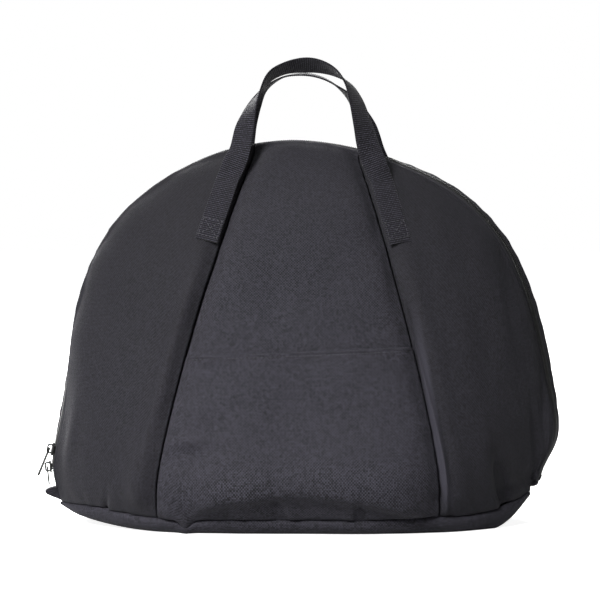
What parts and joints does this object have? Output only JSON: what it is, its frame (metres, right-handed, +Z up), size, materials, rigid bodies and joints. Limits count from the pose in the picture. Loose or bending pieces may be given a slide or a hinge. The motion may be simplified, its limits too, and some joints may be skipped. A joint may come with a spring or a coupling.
{
  "type": "motorcycle helmet bag",
  "caption": "Soft dome-shaped carry bag for a full-face helmet: zipped rim, sewn panels, front slip pocket, flat base and two webbing handles.",
  "frame": {"origin": "on the floor under the middle of the whole bag's box", "axes": "+X along the bag, to the right as seen from the front, +Y to the back, +Z up"},
  "size_m": [0.4394, 0.236, 0.3897],
  "materials": {
    "panel_cloth": "woven polyester, dull",
    "pocket_cloth": "woven polyester, dull",
    "base_cloth": "woven polyester, dull",
    "webbing": "ribbed webbing",
    "zip_tape": "woven tape",
    "zip_teeth": "satin nylon coil",
    "dark_metal": "black enamel",
    "tab_binding": "folded binding tape"
  },
  "bodies": {
    "bag": {"front_left_panel": "panel_cloth", "front_centre_panel": "panel_cloth", "front_right_panel": "panel_cloth", "back_left_panel": "panel_cloth", "back_centre_panel": "panel_cloth", "back_right_panel": "panel_cloth", "front_pocket": "pocket_cloth", "base_panel": "base_cloth", "front_handle": "webbing", "back_handle": "webbing", "zip_tape_front": "zip_tape", "zip_tape_back": "zip_tape", "zip_chain": "zip_teeth", "upper_slider": "dark_metal", "lower_slider": "dark_metal", "left_zip_tab": "tab_binding", "right_zip_tab": "tab_binding"},
    "upper_pull": {"upper_pull": "dark_metal"},
    "lower_pull": {"lower_pull": "dark_metal"}
  },
  "joints": [
    {"name": "upper_pull_swing", "type": "hinge", "parent": "bag", "child": "upper_pull", "pos_m": [-0.20939, -0.0002, 0.06068], "axis": [0.2215, -0.9741, -0.0447], "range_deg": [-165, 0]},
    {"name": "lower_pull_swing", "type": "hinge", "parent": "bag", "child": "lower_pull", "pos_m": [-0.21126, 0.00009, 0.0451], "axis": [0.1736, -0.9847, 0.0166], "range_deg": [-42, 3]}
  ]
}
